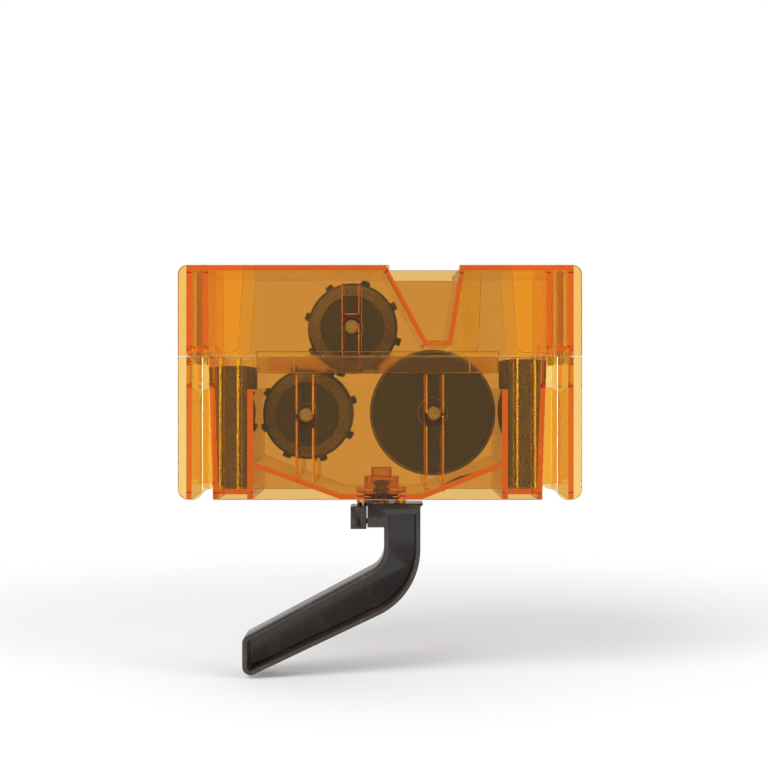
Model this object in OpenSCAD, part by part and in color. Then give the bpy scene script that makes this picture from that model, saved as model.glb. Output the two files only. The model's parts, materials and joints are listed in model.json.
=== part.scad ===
// Bicycle chain cleaner. A clear tank and a clear lift-off lid close round the chain.
// Three brush wheels and two sponges clean it, and a swivelling handle hangs under the tank.
// The origin is on the chain's centre line, half way along the box and half way through its depth.
// +X runs along the chain, +Y runs to the back and +Z is up. All lengths are in millimetres.

/* [Box] */
// Depth of the box from front to back
box_d = 54; // [53:0.5:60]
// Clear width of the end chamber on the longer side
chamber_w = 6.2; // [5:0.1:9]
// Least height of the large wheel above the foot of the tank
under_large = 8; // [7.5:0.5:14]
// Least height of the lower wheel's tips above the foot of the tank
under_small = 12; // [11.5:0.5:16]
// Height of the seam above the chain line
seam_h = 4; // [3.5:0.1:4.6]
// Gap between the upper wheel's tips and the top of the lid
over_wheel = 2.6; // [2:0.1:8]
// Thickness of the moulded walls
wall = 2; // [1.6:0.1:2.2]
// Gap between the lid and the rim of the tank
seam_gap = 0.2; // [0.1:0.05:0.3]
// How far the front and back faces stand out past each end wall
end_lip = 3; // [2.4:0.1:3.4]
// Radius of the box's top corners
top_corner_r = 3.5; // [2.5:0.1:5]
// Width of the strip in front of each end chamber
end_strip_w = 9.3; // [8:0.1:9.6]
// How far the inner end walls lean in from the seam to the foot
end_lean = 1.8; // [0.5:0.1:2.2]

/* [Chain way] */
// Width of the slots that let the chain in and out
slot_w = 12; // [11:0.5:14]
// How far the slots reach below the chain line
slot_below = 7.5; // [6:0.1:7.8]
// How far the slots reach above the chain line
slot_above = 8.5; // [8:0.1:11]
// Radius of the slots' closed ends
slot_r = 2.5; // [1.5:0.1:3]

/* [Small brush wheels] */
// Radius of the wheels' cheeks
cheek_r = 17.2; // [16.4:0.1:17.4]
// How far the bristle tips stand out past the cheeks
tip_out = 1; // [0.5:0.1:1.3]
// Place of the upper wheel along the chain
upper_x = -10.5; // [-12:0.1:-10]
// How far the upper wheel's tips reach below the chain line
upper_bite = 3; // [2.4:0.1:3.4]
// How far the lower wheel's tips reach above the chain line
lower_bite = 0.6; // [0.2:0.1:1]
// Gap between the tips of the two small wheels
small_gap = 0.6; // [0.5:0.1:1.4]
// Half of the width between the cheeks' rims
rim_half = 6.5; // [5.5:0.1:7]
// Half of the wheels' width over the flat faces
wheel_half = 13; // [12:0.1:13.2]
// Radius of the core that carries the bristles
core_r = 7.5; // [6:0.1:8]
// Turn of the upper wheel's tufts at rest
upper_turn = 15.5; // [0:0.5:45]
// Turn of the lower wheel's tufts at rest
lower_turn = 27.5; // [0:0.5:45]

/* [Large brush wheel] */
// Radius of the large wheel's discs
large_r = 24; // [23:0.1:24.5]
// How far the large wheel's rim stands above the chain line
large_top = 7; // [6:0.1:7.1]
// Gap between the large wheel and the tips of the upper wheel
large_gap = 2.2; // [1.6:0.1:3]
// Half of the large wheel's width over its discs
large_half = 11; // [10:0.1:11.6]
// Thickness of each disc
disc_t = 2.6; // [2:0.1:3]
// Half of the free way between the two rows of bristles
chain_half = 1.6; // [1.2:0.1:2.4]

/* [Axles] */
// Radius of the axles
axle_r = 2.45; // [2:0.05:2.6]
// Clearance of an axle in its seats
axle_clear = 0.05; // [0.02:0.01:0.09]
// Clear distance from an axle's end to the wall
axle_end_gap = 0.5; // [0.3:0.1:1]
// Thickness of the ribs on both sides of an axle
post_rib = 1.2; // [1:0.1:1.5]
// Depth of the solid seat behind an axle
seat_depth = 5; // [4:0.1:6]

/* [Sponges] */
// Width of a sponge along the chain
sponge_w = 11.8; // [10.6:0.1:12]
// Clearance round a sponge
foam_gap = 0.3; // [0.3:0.05:0.5]
// Width of the groove that the chain runs in
groove_w = 10; // [8:0.5:12]
// How far the groove reaches below the chain line
groove_below = 5.5; // [5:0.1:6.5]

/* [Handle] */
// Radius of the spigot that swivels in the tank's socket
spigot_r = 7.1; // [6.6:0.1:7.2]
// Clearance of the spigot in the socket
spigot_clear = 0.06; // [0.02:0.01:0.09]
// Thickness of the handle from front to back
handle_t = 16; // [14:0.5:20]
// Width of the handle's neck
neck_w = 14; // [13:0.1:15]
// Length of the arm from the swivel to its far end
arm_l = 53.5; // [45:0.5:65]
// Angle of the arm below the level, on its inner edge
arm_angle = 28; // [24:0.5:32]
// Height of the rim round the handle's hollow front
rim_w = 1.8; // [1.5:0.1:2.4]
// Travel of the thumb catch
catch_travel = 2; // [1.5:0.1:2.4]

/* [Hidden] */
$fn = 96;

// Overrun of every cut
over = 1;
amber = [0.95, 0.55, 0.06, 0.55];
black = [0.09, 0.085, 0.09];
brown = [0.20, 0.165, 0.145];
bristle_brown = [0.16, 0.13, 0.115];
axle_grey = [0.72, 0.66, 0.60];
foam_grey = [0.36, 0.32, 0.26];
steel = [0.75, 0.75, 0.77];

// Centres of the three wheels
tip_r = cheek_r + tip_out;
upper_z = tip_r - upper_bite;
lower_z = lower_bite - tip_r;
small_dz = upper_z - lower_z;
small_dx = sqrt(pow(2 * tip_r + small_gap, 2) - pow(small_dz, 2));
lower_x = upper_x - small_dx;
large_z = large_top - large_r;
large_dz = upper_z - large_z;
large_dx = sqrt(pow(tip_r + large_r + large_gap, 2) - pow(large_dz, 2));
large_x = upper_x + large_dx;

// Partitions and end walls of the basin, each named by its face on the wheels' side
partition_gap = 1.2;
partition_t = 2.2;
partition_top = -8;
sponge_room = sponge_w + 2 * foam_gap;
left_part_x = lower_x - tip_r - partition_gap;
right_part_x = large_x + large_r + partition_gap;
left_end_x = left_part_x - partition_t - sponge_room;
right_end_x = right_part_x + partition_t + sponge_room;

// Levels, ends and inner faces of the box
foot_z = min(large_z - large_r - under_large, lower_z - tip_r - under_small);
seam_z = seam_h;
top_z = upper_z + tip_r + over_wheel + wall;
lid_h = top_z - seam_z;
out_y = box_d / 2;
in_y = box_d / 2 - wall;
post_in_x = max(-left_end_x, right_end_x) + wall + chamber_w;
post_out_x = post_in_x + wall;
box_l = 2 * (post_out_x + end_lip);

// Floors of the tank
floor_z = foot_z + wall;
sponge_floor_h = 4;
sponge_floor_z = foot_z + sponge_floor_h;
slope_top_h = 14.5;
slope_top_z = foot_z + slope_top_h;
flat_half = 14.7;
foot_r = 4;

// Socket for the handle, under the middle of the tank
socket_x = 0.5;
socket_t = 2.6;
socket_below = 2.9;
socket_r = spigot_r + spigot_clear;
socket_out_r = socket_r + socket_t;
socket_end_z = foot_z - socket_below;
spigot_in = 4.2;
socket_roof_z = socket_end_z + spigot_in;
dome_t = 1.8;
dome_r = 6.8;
dome_h = 4.2;
boss_r = 4;
boss_h = 3.4;
peg_r = 2.2;
peg_h = 4.6;
barb_r = 2.8;
barb_h = 1.7;
barb_gap = 0.3;
dimple_r = 1.2;

// Chamfer on the free ends of the tank's ribs
rib_edge = 0.4;

// Posts that carry the axles
post_gap = 0.6;
hub_h = 0.6;
post_face_y = wheel_half + hub_h + post_gap;
seat_r = axle_r + axle_clear;
skirt_h = 6;
skirt_z = seam_z - skirt_h;
skirt_t = 1.6;
skirt_gap = 0.3;
lower_post_top = skirt_z - skirt_gap - skirt_gap;
upper_post_drop = 6.8;

// Ribs that hold the sponges off the front and back walls
rib_w = 1.8;
rib_d = 3;
rib_pitch = 6.6;
sponge_half_d = in_y - rib_d - foam_gap;
left_sponge_top = 0.8;
right_sponge_top = 3.4;

// Spout in the lid
spout_gap = 2;
spout_lean = 28.5;
spout_right_lean = 9.5;
spout_t = 1.8;
spout_floor_w = 10.4;
spout_bottom_z = large_top + 1.2;
spout_slot_w = 5;
spout_slot_half = 15;
spout_seat_share = 0.7;
mouth_in = 0.3;

// Panels inside the lid's faces, with their leans from top to bottom
panel_t = 1.2;
panel_up = 1.5;
panel_r = 2.8;
panel_w = 11;
panel_lean = 1.9;
side_panel_w = 6;

// Snap arms of the lid
arm_t = 1.6;
arm_w = 9;
arm_y = 15;
arm_gap = 0.9;
arm_below = 2.7;
hook_out = 0.6;
hook_h = 3;
shelf_up = 2;
shelf_w = 4.2;

// Brush strands
strand_r = 0.38;
strand_pitch = 0.85;
strand_rows = 4;
strand_cols = 4;
row_pitch = 2.9;
tufts = 8;
ring_counts = [20, 24, 28];
ring_first_share = 0.6;
ring_step_share = 0.155;
backing_t = 1;
strand_root = 0.5;

// Profile of a small wheel's cheek
cheek_t = 2.2;
flat_r_share = 0.71;
bevel_r_share = 0.945;
cheek_hub_r = 4.2;
rim_t = 2.6;
rim_step = 0.5;
large_hub_r = 5.7;
large_rim_w = 1.1;
large_rim_step = 0.7;
large_core_r = 4.6;
axle_chamfer = 0.5;
centre_mark_r = 0.7;
centre_mark_d = 0.35;

// Handle: head, neck and arm
head_gap = 0.3;
head_top_z = socket_end_z - head_gap;
head_h = 9;
head_bottom_z = head_top_z - head_h;
head_left = 5.4;
head_right = neck_w + 1;
head_flare = 1.2;
neck_len = 8.4;
bend_z = head_bottom_z - neck_len;
bend_out_r = 2 * neck_w;
bend_in_r = 9;
outer_angle = arm_angle - 2.6;
handle_web = 2.4;
end_low_r = 3.2;
end_up_r = 2.6;
arc_steps = 14;
hollow_up = 5;

// Thumb catch and its spring
catch_w = 6.1;
catch_h = 8.7;
catch_t = 12;
catch_drop = 1.1;
catch_wall = 1.5;
catch_gap = 0.4;
tongue_t = 1.6;
tongue_half = 3;
tongue_up = 1.9;
pip_r = 1;
recess_w = 1.5;
recess_h = 5.4;
recess_d = 0.8;
spring_wire = 0.4;
spring_r = 1.1;
spring_turns = 3;
spring_sides = 6;
spring_steps = 12;

catch_top_z = head_top_z - catch_drop;
catch_bottom_z = catch_top_z - catch_h;
catch_right_x = socket_x - head_left - catch_gap;
catch_left_x = catch_right_x - catch_w;
catch_mid_x = (catch_left_x + catch_right_x) / 2;
tongue_z = catch_bottom_z + catch_wall + tongue_up;
spring_low_z = tongue_z + spring_wire / 2;
spring_high_z = catch_top_z - catch_wall - spring_wire / 2;

// Points of an arc round c, from angle a0 to angle a1
function arc(c, r, a0, a1, n = arc_steps) =
    [for (i = [0:n]) let (a = a0 + (a1 - a0) * i / n) c + r * [cos(a), sin(a)]];

// Height of the top of the tank's floor at x, between the partitions
function floor_at(x) =
    let (
        from_socket = abs(x - socket_x) - flat_half,
        run = (x < socket_x ? socket_x - left_part_x : right_part_x - socket_x) - flat_half
    )
    from_socket <= 0 ? floor_z : floor_z + (slope_top_z - floor_z) * from_socket / run;

// A flat shape drawn in X and Z that runs in Y from y0 to y1
module across(y0, y1) {
    translate([0, y1, 0])
        rotate([90, 0, 0])
            linear_extrude(height = y1 - y0)
                children();
}

// The same piece at the front and at the back
module front_and_back() {
    children();
    mirror([0, 1, 0])
        children();
}

// A rectangle in the X and Z plane whose two lower corners are round
module foot_plate(x0, x1, z0, z1, r) {
    translate([x0, z0 + r])
        square([x1 - x0, z1 - z0 - r]);
    translate([x0 + r, z0])
        square([x1 - x0 - 2 * r, r + r]);
    for (x = [x0 + r, x1 - r])
        translate([x, z0 + r])
            circle(r);
}

// Something that turns about an axis along Y, drawn as radius and distance
module turned(x, z, side) {
    translate([x, 0, z])
        rotate([side * -90, 0, 0])
            rotate_extrude()
                children();
}

// The chain's slots through both end walls, from z0 to z1, with round corners at one end
module chain_slots(z0, z1, round_top) {
    flip = round_top ? -1 : 1;
    base = round_top ? z1 : z0;
    for (end = [[-box_l / 2 - over, left_end_x + over], [right_end_x - over, box_l / 2 + over]])
        translate([end[0], 0, 0])
            rotate([90, 0, 90])
                linear_extrude(height = end[1] - end[0])
                    translate([0, base])
                        scale([1, flip])
                            foot_plate(-slot_w / 2, slot_w / 2, 0, z1 - z0, slot_r);
}

// An upright rib on the back face, from free_y to the face, with chamfers on its free end
module upright_rib(x, width, free_y, low, high) {
    half = width / 2;
    root_y = in_y + wall / 2;
    translate([x, 0, low])
        linear_extrude(height = high - low)
            polygon([
                [-half, root_y],
                [-half, free_y + rib_edge],
                [-half + rib_edge, free_y],
                [half - rib_edge, free_y],
                [half, free_y + rib_edge],
                [half, root_y]
            ]);
}

// The seat that holds one end of an axle between two ribs, open above or below
module axle_seat(x, z, open_up) {
    difference() {
        union() {
            children();
            across(post_face_y, in_y + wall / 2)
                translate([x - seat_r - post_rib / 2, open_up ? z - seat_depth : z])
                    square([2 * seat_r + post_rib, seat_depth]);
        }
        translate([x, in_y, z])
            rotate([90, 0, 0])
                cylinder(h = in_y - post_face_y + over, r = seat_r);
    }
}

// A post of the tank: two chamfered ribs with a seat that is open above
module lower_post(x, z, low, high) {
    axle_seat(x, z, true)
        for (side = [-1, 1])
            upright_rib(x + side * (seat_r + post_rib / 2), post_rib, post_face_y, low, high);
}

// A post of the lid: two square ribs with a seat that is open below
module upper_post(x, z, low, high) {
    axle_seat(x, z, false)
        across(post_face_y, in_y + wall / 2)
            for (side = [-1, 1])
                translate([x + side * (seat_r + post_rib / 2) - post_rib / 2, low])
                    square([post_rib, high - low]);
}

// The floors, partitions and inner end walls of the tank, as one section
module tank_webs() {
    for (end = [[left_end_x, -1], [right_end_x, 1]]) {
        x = end[0];
        out = end[1];
        polygon([
            [x, seam_z],
            [x + out * wall, seam_z],
            [x + out * (wall - end_lean), foot_z],
            [x - out * end_lean, foot_z]
        ]);
    }
    for (part = [[left_part_x - partition_t, left_end_x], [right_part_x, right_end_x]]) {
        translate([part[0], foot_z])
            square([partition_t, partition_top - foot_z]);
    }
    translate([left_end_x, sponge_floor_z - wall])
        square([left_part_x - left_end_x, wall]);
    translate([right_part_x, sponge_floor_z - wall])
        square([right_end_x - right_part_x, wall]);
    polygon([
        [left_part_x - partition_t / 2, slope_top_z],
        [socket_x - flat_half, floor_z],
        [socket_x + flat_half, floor_z],
        [right_part_x + partition_t / 2, slope_top_z],
        [right_part_x + partition_t / 2, slope_top_z - wall],
        [socket_x + flat_half, floor_z - wall],
        [socket_x - flat_half, floor_z - wall],
        [left_part_x - partition_t / 2, slope_top_z - wall]
    ]);
}

// The tank's front face, without the end chambers
module tank_front_face() {
    polygon([
        [left_end_x - wall, seam_z],
        [left_end_x - wall + end_lean, foot_z],
        [right_end_x + wall - end_lean, foot_z],
        [right_end_x + wall, seam_z]
    ]);
}

// An end chamber: its outer wall, the strips in front and behind, and the web under the chain
module end_chamber(side, inner_x) {
    strip_in = box_l / 2 - end_strip_w;
    web_top = -slot_below;
    front_and_back()
        across(in_y, out_y)
            scale([side, 1])
                foot_plate(strip_in, box_l / 2, foot_z, seam_z, foot_r);
    across(-in_y - wall / 2, in_y + wall / 2)
        scale([side, 1])
            translate([post_in_x, foot_z])
                square([wall, seam_z - foot_z]);
    across(in_y, out_y)
        scale([side, 1])
            translate([inner_x - end_lean, foot_z + foot_r])
                square([box_l / 2 - inner_x + end_lean - foot_r, seam_z - foot_z - foot_r]);
    across(-wall / 2, wall / 2)
        scale([side, 1])
            polygon(concat(
                [[inner_x, foot_z + foot_r], [post_in_x + wall / 2, foot_z + foot_r]],
                [[post_in_x + wall / 2, web_top - foot_r]],
                arc([post_in_x - foot_r, web_top - foot_r], foot_r, 0, 90),
                [[inner_x, web_top]]
            ));
}

// The socket under the floor that the handle's spigot turns in, and its boss
module socket_solid() {
    translate([socket_x, 0, socket_end_z])
        cylinder(h = spigot_in + dome_t, r = socket_out_r);
    translate([socket_x, 0, socket_roof_z + dome_t - over])
        cylinder(h = dome_h + over, r = dome_r);
    translate([socket_x, 0, socket_roof_z + dome_t + dome_h - over])
        cylinder(h = boss_h + over, r = boss_r);
}

module socket_cut() {
    translate([socket_x, 0, socket_end_z - over])
        cylinder(h = spigot_in + over, r = socket_r);
    translate([socket_x, 0, socket_roof_z - over])
        cylinder(h = peg_h + over, r = peg_r + spigot_clear);
    translate([socket_x, 0, head_top_z + spigot_in + peg_h - barb_h - barb_gap])
        cylinder(h = barb_h + 2 * barb_gap, r = barb_r + barb_gap);
    for (a = [0, 90, 180, 270])
        translate([socket_x, 0, socket_end_z - head_gap])
            rotate([0, 0, a])
                translate([(socket_r + socket_out_r) / 2, 0, 0])
                    sphere(dimple_r);
}

// Ribs on the faces of the tank that hold a sponge at x
module sponge_ribs(x) {
    front_and_back()
        for (side = [-1, 1])
            upright_rib(x + side * rib_pitch / 2, rib_w, in_y - rib_d, sponge_floor_z - wall / 2, seam_z);
}

module tank() {
    color(amber)
        difference() {
            union() {
                across(-in_y - wall / 2, in_y + wall / 2)
                    tank_webs();
                front_and_back()
                    across(in_y, out_y)
                        tank_front_face();
                end_chamber(-1, -left_end_x + wall / 2);
                end_chamber(1, right_end_x + wall / 2);
                sponge_ribs((left_end_x + left_part_x - partition_t) / 2);
                sponge_ribs((right_end_x + right_part_x + partition_t) / 2);
                front_and_back() {
                    lower_post(lower_x, lower_z, floor_at(lower_x) - wall / 2, lower_post_top);
                    lower_post(large_x, large_z, floor_at(large_x) - wall / 2, lower_post_top);
                }
                socket_solid();
            }
            chain_slots(-slot_below, seam_z + over, false);
            socket_cut();
        }
}

// Place of the spout's left plate at height z, clear of the upper wheel
function spout_left(z) =
    upper_x + (tip_r + spout_gap - (z - upper_z) * sin(spout_lean)) / cos(spout_lean);
spout_floor_x = spout_left(spout_bottom_z);
spout_floor_end = spout_floor_x + spout_floor_w;
spout_right_top = spout_floor_end + (top_z - spout_bottom_z) * tan(spout_right_lean);

spout_left_t = spout_t / cos(spout_lean);
spout_right_t = spout_t / cos(spout_right_lean);
spout_mouth_x0 = spout_left(top_z - wall) + spout_left_t + mouth_in;
spout_mouth_x1 = spout_right_top - wall * tan(spout_right_lean) - spout_right_t - mouth_in;

// The spout's plates, as one section
module spout_webs() {
    polygon([
        [spout_floor_x, spout_bottom_z],
        [spout_floor_x + spout_left_t, spout_bottom_z],
        [spout_left(top_z) + spout_left_t, top_z],
        [spout_left(top_z), top_z]
    ]);
    polygon([
        [spout_floor_end - spout_right_t, spout_bottom_z],
        [spout_floor_end, spout_bottom_z],
        [spout_right_top, top_z],
        [spout_right_top - spout_right_t, top_z]
    ]);
    translate([spout_floor_x, spout_bottom_z])
        square([spout_floor_w, spout_t]);
}

// The lid's top, open between the spout's plates
module lid_top() {
    left_end = spout_left(top_z) + spout_left_t * spout_seat_share;
    right_start = spout_right_top - spout_right_t * spout_seat_share;
    for (run = [[-post_out_x, left_end], [right_start, post_out_x]])
        translate([run[0], -in_y - wall / 2, top_z - wall])
            cube([run[1] - run[0], 2 * in_y + wall, wall]);
}

// A panel inside a face of the lid, from its root edge to a leaning free edge
module lid_panel(root_x, free_x, lean) {
    way = free_x > root_x ? 1 : -1;
    low = seam_z + panel_up;
    high = top_z - wall / 2;
    corner = [free_x - way * (lean + panel_r), low + panel_r];
    polygon(concat(
        [[root_x, high], [root_x, low]],
        arc(corner, panel_r, -90, way > 0 ? 0 : -180),
        [[free_x, high]]
    ));
}

// The lid's front and back faces
module lid_face() {
    half = box_l / 2;
    translate([-half, seam_z + seam_gap])
        square([box_l, lid_h - seam_gap - top_corner_r]);
    translate([-half + top_corner_r, top_z - 2 * top_corner_r])
        square([box_l - 2 * top_corner_r, 2 * top_corner_r]);
    for (side = [-1, 1])
        translate([side * (half - top_corner_r), top_z - top_corner_r])
            circle(top_corner_r);
}

// One end of the lid: outer wall, inner wall, shelves and the two snap arms
module lid_end(side, inner_x) {
    arm_x = post_in_x - arm_gap - arm_t;
    wall_h = top_z - seam_z - seam_gap;
    scale([side, 1, 1]) {
        translate([post_in_x, -in_y - wall / 2, seam_z + seam_gap])
            cube([wall, 2 * in_y + wall, wall_h]);
        translate([inner_x + wall, -in_y - wall / 2, seam_z + seam_gap])
            cube([arm_t, 2 * in_y + wall, wall_h]);
        front_and_back() {
            translate([post_in_x - shelf_w, slot_w / 2 + wall, seam_z + shelf_up])
                cube([shelf_w + wall / 2, in_y - slot_w / 2 - wall / 2, wall]);
            translate([arm_x, arm_y - arm_w / 2, seam_z - arm_below])
                cube([arm_t, arm_w, top_z - seam_z + arm_below - wall / 2]);
            across(arm_y - arm_w / 2, arm_y + arm_w / 2)
                polygon([
                    [arm_x + arm_t / 2, seam_z - arm_below],
                    [arm_x + arm_t, seam_z - arm_below],
                    [arm_x + arm_t + hook_out, seam_z - arm_below + hook_h - hook_out],
                    [arm_x + arm_t, seam_z - arm_below + hook_h],
                    [arm_x + arm_t / 2, seam_z - arm_below + hook_h]
                ]);
        }
    }
}

module lid() {
    skirt_x0 = left_part_x + partition_gap;
    skirt_l = right_part_x - left_part_x - 2 * partition_gap;
    skirt_y = in_y - skirt_gap - skirt_t;
    color(amber)
        difference() {
            union() {
                front_and_back()
                    across(in_y, out_y)
                        lid_face();
                lid_top();
                lid_end(-1, -left_end_x);
                lid_end(1, right_end_x);
                across(-in_y - wall / 2, in_y + wall / 2)
                    spout_webs();
                front_and_back() {
                    across(in_y - panel_t, in_y + wall / 2) {
                        lid_panel(left_end_x - wall, left_end_x + panel_w, panel_lean);
                        lid_panel(right_end_x + wall, right_end_x - panel_w, panel_lean);
                        lid_panel(spout_right_top - spout_t, spout_right_top + side_panel_w, panel_lean / 2);
                    }
                    difference() {
                        upper_post(upper_x, upper_z, skirt_z, top_z - upper_post_drop);
                        for (side = [-1, 1])
                            scale([1, side, 1])
                                translate([-box_l / 2, in_y - skirt_gap, skirt_z - over])
                                    cube([box_l, out_y, seam_z + seam_gap - skirt_z + over]);
                    }
                    translate([skirt_x0, skirt_y, skirt_z])
                        cube([skirt_l, skirt_t, seam_z + wall - skirt_z]);
                    translate([skirt_x0, skirt_y + skirt_t / 2, seam_z + seam_gap])
                        cube([skirt_l, in_y + wall / 2 - skirt_y - skirt_t / 2, wall - seam_gap]);
                }
            }
            translate([spout_mouth_x0, -out_y - over, top_z - wall])
                cube([spout_mouth_x1 - spout_mouth_x0, 2 * (out_y + over), wall + over]);
            translate([spout_floor_end - spout_t - spout_slot_w, -spout_slot_half, spout_bottom_z - over])
                cube([spout_slot_w, 2 * spout_slot_half, spout_t + 2 * over]);
            chain_slots(seam_z - over, slot_above, true);
        }
}

// A cheek of a small wheel, with its hub, flat, bevel and rim
module cheek(x, z, side) {
    flat_r = cheek_r * flat_r_share;
    bevel_r = cheek_r * bevel_r_share;
    inside = wheel_half - cheek_t;
    color(brown)
        turned(x, z, side)
            polygon([
                [axle_r, inside],
                [flat_r - cheek_t / 2, inside],
                [bevel_r - cheek_t / 2, rim_half],
                [cheek_r, rim_half],
                [cheek_r, rim_half + rim_t],
                [bevel_r, rim_half + rim_t + rim_step],
                [flat_r, wheel_half],
                [cheek_hub_r, wheel_half],
                [cheek_hub_r, wheel_half + hub_h],
                [axle_r, wheel_half + hub_h]
            ]);
}

// The core of a small wheel with its rows of bristle tufts
module tufted_core(x, z, turn) {
    core_half = wheel_half - cheek_t;
    color(bristle_brown)
        translate([x, 0, z])
            union() {
                rotate([90, 0, 0])
                    difference() {
                        cylinder(h = 2 * core_half, r = core_r, center = true);
                        cylinder(h = 2 * core_half + over, r = axle_r, center = true);
                    }
                for (i = [0:tufts - 1])
                    rotate([0, 360 / tufts * i + turn, 0])
                        translate([0, 0, core_r - strand_root])
                            linear_extrude(height = tip_r - core_r + strand_root)
                                tuft_section();
            }
}

// The strands of one angle of a small wheel, cut across
module tuft_section() {
    for (row = [0:strand_rows - 1])
        for (col = [0:strand_cols - 1])
            translate([
                (col - (strand_cols - 1) / 2) * strand_pitch,
                (row - (strand_rows - 1) / 2) * row_pitch
            ])
                circle(strand_r, $fn = 3);
}

// An axle with chamfered ends and centre marks, thicker between its two shoulders
module axle(x, z, middle_r, middle_half) {
    half = in_y - axle_end_gap;
    color(axle_grey)
        translate([x, 0, z])
            rotate([90, 0, 0])
                rotate_extrude()
                    polygon([
                        [0, -half + centre_mark_d],
                        [centre_mark_r, -half],
                        [axle_r - axle_chamfer, -half],
                        [axle_r, -half + axle_chamfer],
                        [axle_r, -middle_half],
                        [middle_r, -middle_half],
                        [middle_r, middle_half],
                        [axle_r, middle_half],
                        [axle_r, half - axle_chamfer],
                        [axle_r - axle_chamfer, half],
                        [centre_mark_r, half],
                        [0, half - centre_mark_d]
                    ]);
}

// A disc of the large wheel, with a stepped rim and a hub that meets the post
module large_disc(side) {
    inside = large_half - disc_t;
    color(brown)
        turned(large_x, large_z, side)
            polygon([
                [axle_r, inside],
                [large_r, inside],
                [large_r, large_half - large_rim_step],
                [large_r - large_rim_w, large_half - large_rim_step],
                [large_r - large_rim_w, large_half],
                [large_hub_r, large_half],
                [large_hub_r, wheel_half + hub_h],
                [axle_r, wheel_half + hub_h]
            ]);
}

// The bristles of one disc, on the thin plate that they are set in
module disc_bristles(side) {
    inside = large_half - disc_t;
    plate_r = large_r - large_rim_w;
    color(bristle_brown)
        translate([large_x, 0, large_z])
            rotate([side * -90, 0, 0])
                union() {
                    translate([0, 0, inside - backing_t])
                        difference() {
                            cylinder(h = backing_t, r = plate_r);
                            translate([0, 0, -over])
                                cylinder(h = backing_t + 2 * over, r = axle_r);
                        }
                    translate([0, 0, chain_half])
                        linear_extrude(height = inside - backing_t / 2 - chain_half)
                            for (ring = [0:len(ring_counts) - 1])
                                for (i = [0:ring_counts[ring] - 1])
                                    rotate(360 / ring_counts[ring] * i)
                                        translate([plate_r * (ring_first_share + ring * ring_step_share), 0])
                                            circle(strand_r, $fn = 4);
                }
}

// A foam block between an end wall and a partition, grooved for the chain
module sponge(end_x, part_x, top) {
    out = end_x < part_x ? -1 : 1;
    low = sponge_floor_z + foam_gap;
    lean_low = end_lean * (seam_z - low) / (seam_z - foot_z);
    lean_top = end_lean * (seam_z - top) / (seam_z - foot_z);
    color(foam_grey)
        difference() {
            across(-sponge_half_d, sponge_half_d)
                polygon([
                    [part_x + out * foam_gap, low],
                    [end_x - out * (foam_gap + lean_low), low],
                    [end_x - out * (foam_gap + lean_top), top],
                    [part_x + out * foam_gap, top]
                ]);
            translate([end_x - sponge_room, -groove_w / 2, -groove_below])
                cube([2 * sponge_room, groove_w, top + groove_below + over]);
        }
}

// Outline of the handle's neck and arm, drawn in by an inset
neck_right = socket_x + head_right;
neck_left = neck_right - neck_w;
out_centre = [neck_right - bend_out_r, bend_z];
in_centre = [neck_left - bend_in_r, bend_z];
arm_end_x = socket_x - arm_l;

// Height at x of the straight edges that leave the two bends, at an inset
function outer_edge(x, inset) =
    let (a = 90 - outer_angle, p = out_centre + (bend_out_r - inset) * [cos(a), -sin(a)])
    p[1] + (x - p[0]) * tan(outer_angle);
function inner_edge(x, inset) =
    let (a = 90 - arm_angle, p = in_centre + (bend_in_r + inset) * [cos(a), -sin(a)])
    p[1] + (x - p[0]) * tan(arm_angle);

function arm_outline(inset, top) =
    let (
        low_r = end_low_r - inset,
        up_r = end_up_r - inset,
        low_x = arm_end_x + end_low_r,
        up_x = arm_end_x + end_up_r
    )
    concat(
        [[neck_right - inset, top]],
        arc(out_centre, bend_out_r - inset, 0, outer_angle - 90),
        arc([low_x, outer_edge(low_x, 0) + end_low_r / cos(outer_angle)], low_r, outer_angle - 90, -180),
        arc([up_x, inner_edge(up_x, 0) - end_up_r / cos(arm_angle)], up_r, 180, 90 + arm_angle),
        arc(in_centre, bend_in_r + inset, arm_angle - 90, 0),
        [[neck_left + inset, top]]
    );

// The peg in the spigot's middle, with the barb that snaps in over the socket's roof
module snap_peg() {
    peg_end = spigot_in + peg_h;
    rotate_extrude()
        polygon([
            [0, 0],
            [peg_r, 0],
            [peg_r, peg_end - barb_h],
            [barb_r, peg_end - barb_h],
            [barb_r, peg_end - barb_h / 2],
            [peg_r, peg_end],
            [0, peg_end]
        ]);
}

module handle() {
    half = handle_t / 2;
    left = socket_x - head_left;
    color(black)
        difference() {
            union() {
                across(-half, half)
                    polygon(arm_outline(0, head_bottom_z + over));
                across(-half, half)
                    polygon([
                        [left, head_top_z],
                        [left, head_bottom_z],
                        [neck_right, head_bottom_z],
                        [neck_right, head_top_z - head_flare],
                        [neck_right + head_flare, head_top_z]
                    ]);
                translate([socket_x, 0, head_top_z - over])
                    cylinder(h = spigot_in + over, r = spigot_r);
                translate([socket_x, 0, head_top_z])
                    snap_peg();
                translate([catch_left_x + catch_wall + catch_gap, -tongue_half, tongue_z - tongue_t])
                    cube([left - catch_left_x - catch_wall, 2 * tongue_half, tongue_t]);
            }
            across(-half - over, half - handle_web)
                polygon(arm_outline(rim_w, head_bottom_z + hollow_up));
        }
}

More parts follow.
